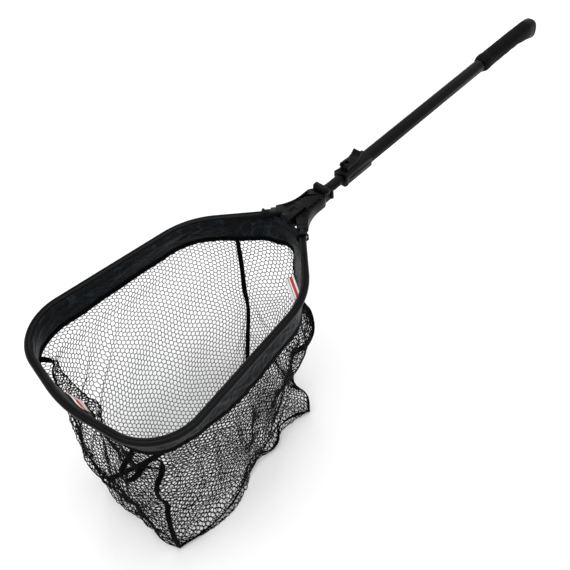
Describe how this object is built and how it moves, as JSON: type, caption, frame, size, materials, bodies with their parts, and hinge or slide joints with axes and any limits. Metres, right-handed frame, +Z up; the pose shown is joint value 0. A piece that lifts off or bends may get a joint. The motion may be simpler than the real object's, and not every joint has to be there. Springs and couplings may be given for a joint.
{
  "type": "landing net",
  "caption": "Folding landing net: octagonal telescopic handle with grip and lift lever, V-shaped yoke, bent alloy hoop with a fabric band and a deep knotless bag.",
  "frame": {"origin": "on the handle's axis in the middle of the rubber grip, where the hand holds it", "axes": "+X along the handle towards the hoop, +Z up out of the hoop's open side, +Y to the left of someone holding the handle"},
  "size_m": [1.4314, 0.3986, 0.3658],
  "materials": {
    "anodised_alloy": "black anodised, satin",
    "moulded_nylon": "black glass-filled nylon, fine grain",
    "grip_rubber": "black soft rubber, matte",
    "dark_steel": "dark steel",
    "band_fabric": "blue-black coated woven nylon, slight sheen",
    "binding_tape": "black woven binding tape",
    "coated_netting": "black rubber-coated netting",
    "label_cloth": "plain off-white woven label"
  },
  "bodies": {
    "handle": {"outer_tube": "anodised_alloy", "grip_sleeve": "grip_rubber", "butt_cap": "moulded_nylon", "tube_plug": "moulded_nylon", "butt_screw": "dark_steel", "lock_housing": "moulded_nylon", "mouth_bush": "moulded_nylon", "housing_screw_1": "dark_steel", "housing_screw_2": "dark_steel", "lever_pin": "dark_steel", "lever_spring": "dark_steel"},
    "lever": {"lock_lever": "moulded_nylon"},
    "lock": {"lock_pin": "dark_steel"},
    "extension": {"inner_tube": "anodised_alloy", "tail_bush": "moulded_nylon", "hinge_tongue": "moulded_nylon", "tongue_rivet_1": "dark_steel", "tongue_rivet_2": "dark_steel", "hinge_pin": "dark_steel", "hinge_clip": "dark_steel"},
    "latch": {"fold_latch": "moulded_nylon"},
    "hoop": {"bottom_panel": "coated_netting", "fabric_band": "band_fabric", "far_panel": "coated_netting", "far_seam_tape": "binding_tape", "front_label": "label_cloth", "front_panel": "coated_netting", "hem_tape": "binding_tape", "hoop_rail": "anodised_alloy", "latch_spring": "dark_steel", "near_panel": "coated_netting", "near_seam_tape": "binding_tape", "rear_label": "label_cloth", "rear_panel": "coated_netting", "socket_collar_left": "moulded_nylon", "socket_collar_right": "moulded_nylon", "socket_rivet_left": "dark_steel", "socket_rivet_right": "dark_steel", "yoke_frame": "moulded_nylon"}
  },
  "joints": [
    {"name": "handle_slide", "type": "slide", "parent": "handle", "child": "extension", "axis": [1, 0, 0], "range_m": [0, 0.4]},
    {"name": "lever_lift", "type": "hinge", "parent": "handle", "child": "lever", "pos_m": [0.592, 0, 0.0245], "axis": [0, 1, 0], "range_deg": [0, 16], "stiffness_Nm_per_rad": 0.15},
    {"name": "lock_lift", "type": "slide", "parent": "handle", "child": "lock", "axis": [0, 0, 1], "range_m": [0, 0.0034]},
    {"name": "hoop_fold", "type": "hinge", "parent": "extension", "child": "hoop", "pos_m": [0.666, 0, 0.014], "axis": [0, -1, 0], "range_deg": [0, 160]},
    {"name": "latch_slide", "type": "slide", "parent": "hoop", "child": "latch", "axis": [1, 0, 0], "range_m": [0, 0.008]}
  ],
  "couplings": [
    {"joint": "lock_lift", "follows": "lever_lift", "m_per_rad": 0.012}
  ]
}
